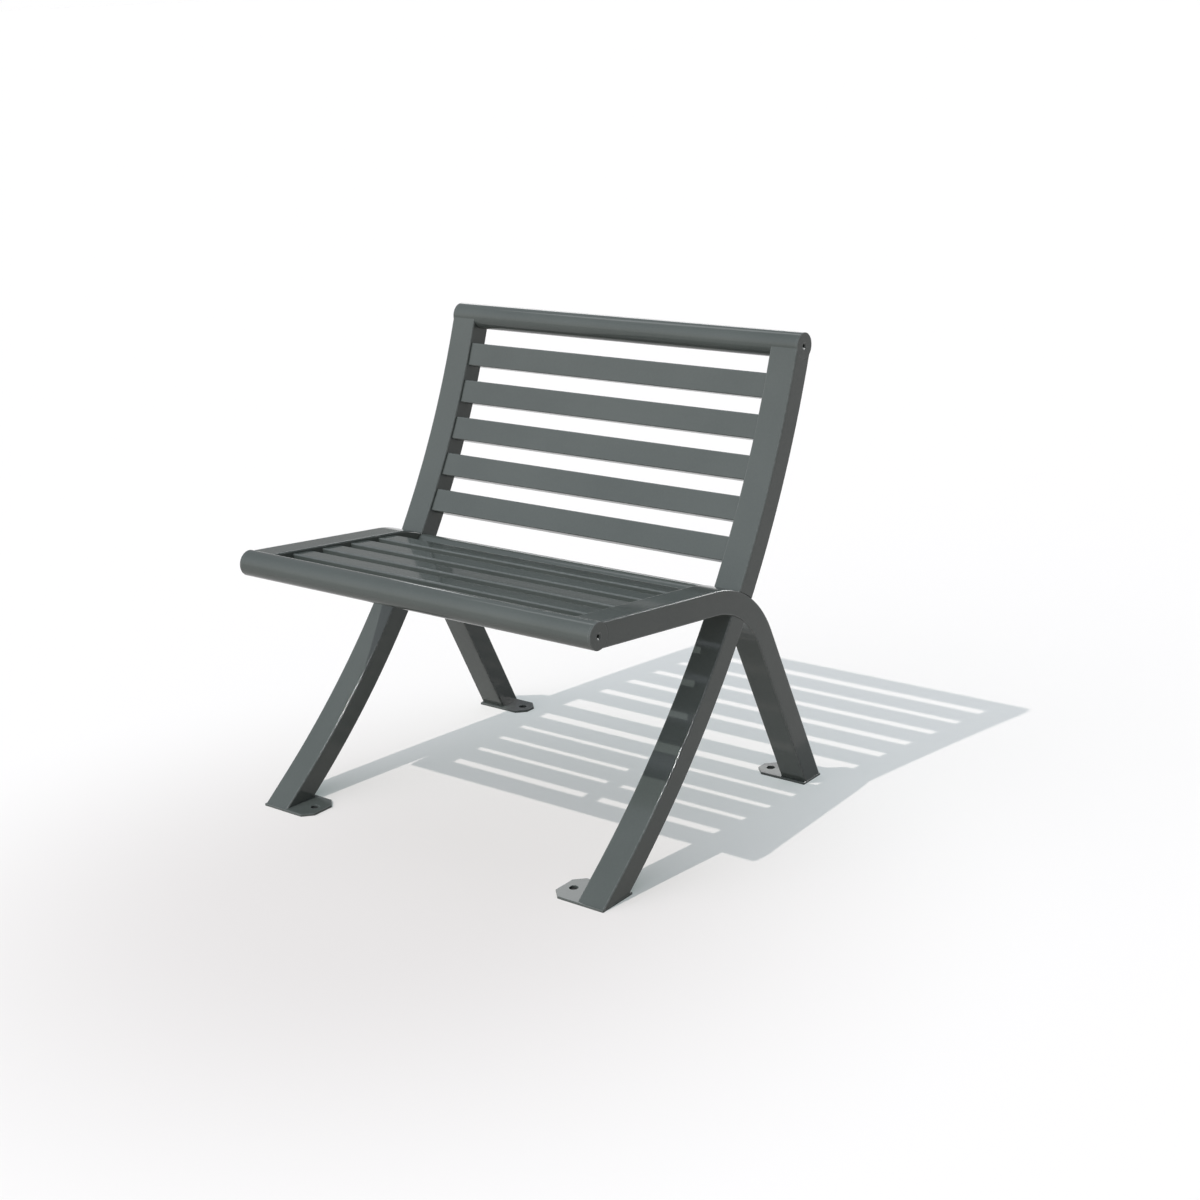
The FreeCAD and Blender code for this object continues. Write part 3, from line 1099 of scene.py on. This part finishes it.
@dataclass
class StreetChair:
    """The whole chair: two bent sides, three cross tubes, slats, brace and foot plates."""

    width: float = 0.720
    depth: float = 0.604
    tube: float = 0.0424
    section: Section = Section(width=0.050, depth=0.040, corner=0.003)
    front_z: float = 0.4225
    top_z: float = 0.740
    seat_fall: float = 6.8
    rail_straight: float = 0.295
    bend_radius: float = 0.167
    rear_leg_slope: float = 64.9
    rear_tube_turn: float = 23.1
    sweep_radius: float = 1.534
    sweep_ahead: float = 0.9045
    sweep_z: float = 1.2318
    joint_slope: float = 34.4
    straight_end: float = 0.030
    leg_radius: float = 1.520
    leg_turn: float = 16.6
    foot_run: float = 0.100
    seat_slats: int = 4
    back_slats: int = 5
    first_slat: float = 0.0687
    slat_pitch: float = 0.0662
    slat_recess: float = 0.0045
    slat_thickness: float = 0.020
    brace_thickness: float = 0.006
    plate: float = 0.004
    front_plate_setback: float = 0.0153
    front_plate_depth: float = 0.072
    rear_plate_depth: float = 0.051
    bite: float = 0.0002

    def __post_init__(self) -> None:
        """Work out the places that follow from the sizes."""
        fall = math.radians(self.seat_fall)
        self.front_y = (self.tube - self.depth) / 2
        self.sweep_y = self.front_y - self.sweep_ahead
        drop = self.sweep_z - self.top_z
        self.top_y = self.sweep_y + math.sqrt(self.sweep_radius**2 - drop**2)
        self.top_slope = math.degrees(math.asin(drop / self.sweep_radius))
        self.end_turn = math.degrees(self.straight_end / self.sweep_radius)
        self.rail_y = self.front_y + self.rail_straight * math.cos(fall)
        self.rail_z = self.front_z - self.rail_straight * math.sin(fall)
        self.bend_y = self.rail_y - self.bend_radius * math.sin(fall)
        self.bend_z = self.rail_z - self.bend_radius * math.cos(fall)
        turned = math.radians(self.seat_fall + self.rear_tube_turn)
        self.rear_y = self.bend_y + self.bend_radius * math.sin(turned)
        self.rear_z = self.bend_z + self.bend_radius * math.cos(turned)

    def build(self, coat: bpy.types.Material) -> None:
        """Make every piece.

        Args:
            coat: Material of the whole chair.
        """
        self.build_sides(coat)
        self.build_cross_tubes(coat)
        self.build_slats(coat)
        self.build_feet(coat)

    def _swept(self, slope: float) -> dict[str, float]:
        """Find where the long curve has a slope.

        Args:
            slope: The slope.

        Returns:
            The place, and the heading of a tube there.
        """
        angle = math.radians(slope)
        return {
            "y": self.sweep_y + self.sweep_radius * math.cos(angle),
            "z": self.sweep_z - self.sweep_radius * math.sin(angle),
            "slope": 90 + slope,
        }

    def build_sides(self, coat: bpy.types.Material) -> None:
        """Make rail, stile and front leg of both sides.

        Args:
            coat: Their material.
        """
        tube = self.tube / 2 - self.bite
        half = self.section.depth / 2
        floor = LevelCut(self.plate - self.bite)
        outside = self.bend_radius + half - self.bite
        inside = self.bend_radius - half + self.bite
        rail = BentTube(
            "side_rail", self.section, self.rail_y, self.rail_z, self.seat_fall,
            lead=self.rail_straight, radius=self.bend_radius,
            turn=self.rear_leg_slope - self.seat_fall, tail=self.front_z,
            start=RoundCut(self.front_y, self.front_z, tube, Crossing.SECOND), finish=floor,
        )
        start = self.top_slope + self.end_turn
        stile = BentTube(
            "back_stile", self.section, **self._swept(start),
            lead=self.straight_end, radius=self.sweep_radius,
            turn=self.joint_slope - self.end_turn - start, tail=self.straight_end,
            start=RoundCut(self.top_y, self.top_z, tube, Crossing.SECOND),
            finish=RoundCut(self.bend_y, self.bend_z, outside, Crossing.FIRST),
        )
        leg = BentTube(
            "front_leg", self.section, **self._swept(self.joint_slope + self.end_turn),
            lead=self.straight_end, radius=self.leg_radius, turn=self.leg_turn, tail=self.foot_run,
            start=RoundCut(self.bend_y, self.bend_z, inside, Crossing.FIRST), finish=floor,
        )
        for side in Side:
            x = side.value * (self.width - self.section.width) / 2
            for member in (rail, stile, leg):
                node = f"{member.name}_{side.word}"
                add_piece(f"coated_{node}", member.mesh(x), coat, [node])

    def build_cross_tubes(self, coat: bpy.types.Material) -> None:
        """Make the three round tubes, their caps and the brace.

        Args:
            coat: Their material.
        """
        cap = RoundTube.cap
        clear = self.width - 2 * self.section.width
        RoundTube("front_tube", self.front_y, self.front_z, self.width - 2 * cap).build(coat, True)
        RoundTube("top_tube", self.top_y, self.top_z, self.width - 2 * cap).build(coat, True)
        RoundTube("rear_cross_tube", self.rear_y, self.rear_z, clear).build(coat, False)
        half = self.section.depth / 2
        drop = self.slat_recess + self.slat_thickness + self.brace_thickness - half
        SeatBrace(
            self.front_y, self.front_z, self.seat_fall, drop,
            self.rear_y, self.rear_z, thickness=self.brace_thickness,
        ).build(coat)

    def build_slats(self, coat: bpy.types.Material) -> None:
        """Make the slats of the seat and the back.

        Args:
            coat: Their material.
        """
        clear = self.width - 2 * self.section.width
        half = self.section.depth / 2
        row = {"first": self.first_slat, "pitch": self.slat_pitch, "span": clear}
        SeatRow(
            "coated_seat_slats", "seat_slat", self.seat_slats, **row,
            y=self.front_y, z=self.front_z, fall=self.seat_fall,
            lift=half - self.slat_recess - self.slat_thickness / 2,
        ).build(coat)
        front = self.sweep_radius - half
        BackRow(
            "coated_back_slats", "back_slat", self.back_slats, **row,
            y=self.sweep_y, z=self.sweep_z, front_radius=front, top_slope=self.top_slope,
            radius=front + self.slat_recess + self.slat_thickness / 2,
        ).build(coat)

    def build_feet(self, coat: bpy.types.Material) -> None:
        """Make the four foot plates.

        Args:
            coat: Their material.
        """
        front = FootPlate("front", self.front_y + self.front_plate_setback, self.front_plate_depth)
        rear = FootPlate("rear", (self.depth - self.rear_plate_depth) / 2, self.rear_plate_depth)
        for side in Side:
            for plate in (front, rear):
                plate.build(side, coat)


def aim_lamp(lamp: bpy.types.Light, place: Vector, way: Vector) -> bpy.types.Object:
    """Put a lamp into the scene.

    Args:
        lamp: The lamp.
        place: Where it is.
        way: Which way it shines.

    Returns:
        The object that holds it.
    """
    holder = bpy.data.objects.new(lamp.name, lamp)
    holder.location = place
    holder.rotation_mode = "QUATERNION"
    holder.rotation_quaternion = way.to_track_quat("-Z", "Y")
    bpy.context.scene.collection.objects.link(holder)
    return holder


@dataclass(frozen=True)
class Panel:
    """A white panel round the chair, seen only as a sheen on the coat.

    Its turn is counted from straight behind the chair toward its right side. Its level is its
    brightness, where 1 is white.
    """

    turn: float
    rise: float
    away: float
    width: float
    height: float
    level: float
    centre: tuple[float, float, float] = (0.0, 0.0, 0.4)

    def hang(self) -> None:
        """Add the panel, facing the chair."""
        lamp = bpy.data.lights.new("sheen_panel", "AREA")
        lamp.shape = "RECTANGLE"
        lamp.size, lamp.size_y = self.width, self.height
        lamp.energy = self.level * math.pi * self.width * self.height
        around, up = math.radians(self.turn), math.radians(self.rise)
        flat = math.cos(up)
        way = Vector((math.sin(around) * flat, math.cos(around) * flat, math.sin(up)))
        panel = aim_lamp(lamp, Vector(self.centre) + way * self.away, -way)
        panel.visible_camera = False
        panel.visible_diffuse = False


@dataclass(frozen=True)
class Studio:
    """Pale floor with painted shade round the chair and under the bolt holes, a crisp key light from
    the front left, sheen panels and a soft surround.
    """

    floor_radius: float = 400.0
    floor_segments: int = 128
    floor_tone: Colour = (0.641, 0.573, 0.543)
    # The lift is lower near the chair: a painted shade pool on the floor round it.
    painted_shade_lift_near: Colour = (0.136, 0.174, 0.17)
    lift_far: Colour = (0.312, 0.365, 0.366)
    pool: tuple[float, float, float] = (0.05, -0.45, 0.0)
    pool_reach: tuple[float, float] = (0.15, 1.0)
    # Dark spots painted on the floor under the plates' bolt holes stand for the shade inside anchor
    # holes.
    anchor_x: float = 0.277
    anchor_y: tuple[float, float] = (-0.2655, 0.2765)
    anchor_radius: float = 0.008
    anchor_hole_shade_tone: Colour = (0.02, 0.02, 0.02)
    key_way: tuple[float, float, float] = (0.2175, 0.632, -1.0)
    key_strength: float = 1.85
    key_angle: float = 0.6
    key_height: float = 4.0
    sky_way: tuple[float, float, float] = (-0.5, -0.8, 0.3)
    sky_tint: Colour = (1.005, 1.0, 0.98)
    overhead_tint: Colour = (0.97, 1.05, 1.25)
    sky_level: float = 0.42
    sky_slope: float = 0.25
    sky_glow: float = 1.3
    glow_falloff: float = 5.0
    dim_way: tuple[float, float, float] = (-0.63, 0.77, 0.08)
    dim_reach: tuple[float, float] = (0.55, 0.85)
    white_reach: tuple[float, float] = (0.1, 0.7)
    horizon: tuple[float, float] = (0.0, 0.03)
    panels: tuple[Panel, ...] = (
        Panel(turn=-27.0, rise=20.5, away=3.0, width=2.2, height=0.7, level=2.8),
        Panel(turn=27.0, rise=17.5, away=3.0, width=0.7, height=1.1, level=18.0),
        Panel(turn=-55.0, rise=55.5, away=3.0, width=1.6, height=0.45, level=1.9),
        Panel(turn=-148.7, rise=53.8, away=12.0, width=0.8, height=0.6, level=450.0),
        Panel(turn=142.3, rise=51.5, away=6.0, width=0.6, height=0.26, level=330.0),
    )

    def build(self) -> None:
        """Lay the floor and set the lights."""
        self.lay_floor()
        self.light_surround()
        for panel in self.panels:
            panel.hang()
        lamp = bpy.data.lights.new("key_light", "SUN")
        lamp.energy = self.key_strength
        lamp.angle = math.radians(self.key_angle)
        key = aim_lamp(lamp, Vector((0.0, 0.0, self.key_height)), Vector(self.key_way))
        key.visible_glossy = False

    def lay_floor(self) -> None:
        """Make the floor, which keeps shadows and is lifted to white in what sees it, less so in a
        painted shade pool near the chair, and painted dark under the bolt holes.
        """
        build = bmesh.new()
        bmesh.ops.create_circle(
            build, cap_ends=True, segments=self.floor_segments, radius=self.floor_radius
        )
        mesh = bpy.data.meshes.new("studio_floor")
        build.to_mesh(mesh)
        build.free()
        material = bpy.data.materials.new("pale_floor")
        material.use_nodes = True
        graph = Graph(material.node_tree)
        place = graph.out("ShaderNodeTexCoord", output="Object")
        away = graph.value(
            "ShaderNodeVectorMath",
            {"operation": "DISTANCE"},
            {0: place, 1: self.pool},
            output="Value",
        )
        # Painted shade: the floor's lift falls off toward the pool's middle, near the chair.
        far = away.step(*self.pool_reach)
        lift = graph.blend(far, (*self.painted_shade_lift_near, 1.0), (*self.lift_far, 1.0))
        x, y, _ = graph.parts(place)
        # Painted shade: dark spots under the bolt holes, in both the floor's colour and its lift.
        anchor_hole_shade = 0.0
        for anchor in self.anchor_y:
            off = (((x * x).root() - self.anchor_x) ** 2.0 + (y - anchor) ** 2.0).root()
            anchor_hole_shade = anchor_hole_shade + (off < self.anchor_radius)
        dark = (*self.anchor_hole_shade_tone, 1.0)
        tone = graph.blend(anchor_hole_shade, (*self.floor_tone, 1.0), dark)
        matt = graph.add("ShaderNodeBsdfDiffuse", None, {"Color": tone})
        glow = graph.add(
            "ShaderNodeEmission",
            None,
            {"Color": graph.blend(anchor_hole_shade, lift, dark), "Strength": graph.shown()},
        )
        both = graph.add("ShaderNodeAddShader", None, {0: matt.outputs[0], 1: glow.outputs[0]})
        graph.add("ShaderNodeOutputMaterial", None, {"Surface": both.outputs[0]})
        mesh.materials.append(material)
        floor = bpy.data.objects.new("studio_floor", mesh)
        bpy.context.scene.collection.objects.link(floor)

    def light_surround(self) -> None:
        """Make a soft surround, bright ahead of the chair and dim behind it.

        Seen straight it is white. Mirrored, it is white above the floor too, apart from one dim
        part behind and to the left, which the seat mirrors.
        """
        world = bpy.data.worlds.new("soft_surround")
        world.use_nodes = True
        graph = Graph(world.node_tree)
        way = graph.out("ShaderNodeTexCoord", output="Generated")
        _, _, height = graph.parts(way)
        facing, dimmed = (
            graph.value(
                "ShaderNodeVectorMath",
                {"operation": "DOT_PRODUCT"},
                {0: way, 1: Vector(toward).normalized()},
                output="Value",
            )
            for toward in (self.sky_way, self.dim_way)
        )
        glow = self.sky_glow * facing.clamp() ** self.glow_falloff
        level = self.sky_level + self.sky_slope * facing + glow
        tints = zip(self.sky_tint, self.overhead_tint)
        overhead = height.clamp()
        sky = graph.vector(*(level * (low + overhead * (high - low)) for low, high in tints))
        white = (1.0, 1.0, 1.0, 1.0)
        share = graph.shown() * (1.0 - dimmed.step(*self.dim_reach))
        lifted = graph.blend(share * (1.0 - height.step(*self.white_reach)), sky, white, "LIGHTEN")
        straight = graph.value("ShaderNodeLightPath", output="Is Camera Ray")
        plain = (1.0 - height.step(*self.horizon) + straight).clamp()
        colour = graph.blend(plain, lifted, white)
        light = graph.add("ShaderNodeBackground", None, {"Color": colour, "Strength": 1.0})
        graph.add("ShaderNodeOutputWorld", None, {"Surface": light.outputs[0]})
        bpy.context.scene.world = world


@dataclass(frozen=True)
class Viewpoint:
    """The camera, where the photograph was taken from."""

    place: tuple[float, float, float] = (1.9629, -2.2847, 1.3050)
    azimuth: float = 38.572
    elevation: float = 17.898
    roll: float = 2.62
    lens: float = 57.917
    sensor: float = 36.0
    reach: float = 1000.0

    def build(self) -> None:
        """Add the camera and make it the scene's."""
        around, up = math.radians(self.azimuth), math.radians(self.elevation)
        back = Vector(
            (math.sin(around) * math.cos(up), -math.cos(around) * math.cos(up), math.sin(up))
        )
        right = (-back).cross(Vector((0.0, 0.0, 1.0))).normalized()
        level = Matrix((right, back.cross(right), back)).transposed()
        turn = level @ Matrix.Rotation(math.radians(-self.roll), 3, "Z")
        data = bpy.data.cameras.new("camera")
        data.lens = self.lens
        data.sensor_width = self.sensor
        data.clip_end = self.reach
        camera = bpy.data.objects.new("camera", data)
        camera.matrix_world = Matrix.Translation(self.place) @ turn.to_4x4()
        bpy.context.scene.collection.objects.link(camera)
        bpy.context.scene.camera = camera


def main() -> None:
    """Build the chair, the studio and the camera."""
    logging.basicConfig(level=logging.INFO, format="%(name)s: %(message)s")
    bpy.context.scene.view_settings.view_transform = "Standard"
    StreetChair().build(PowderCoat().material())
    Studio().build()
    Viewpoint().build()


if __name__ == "__main__":
    main()
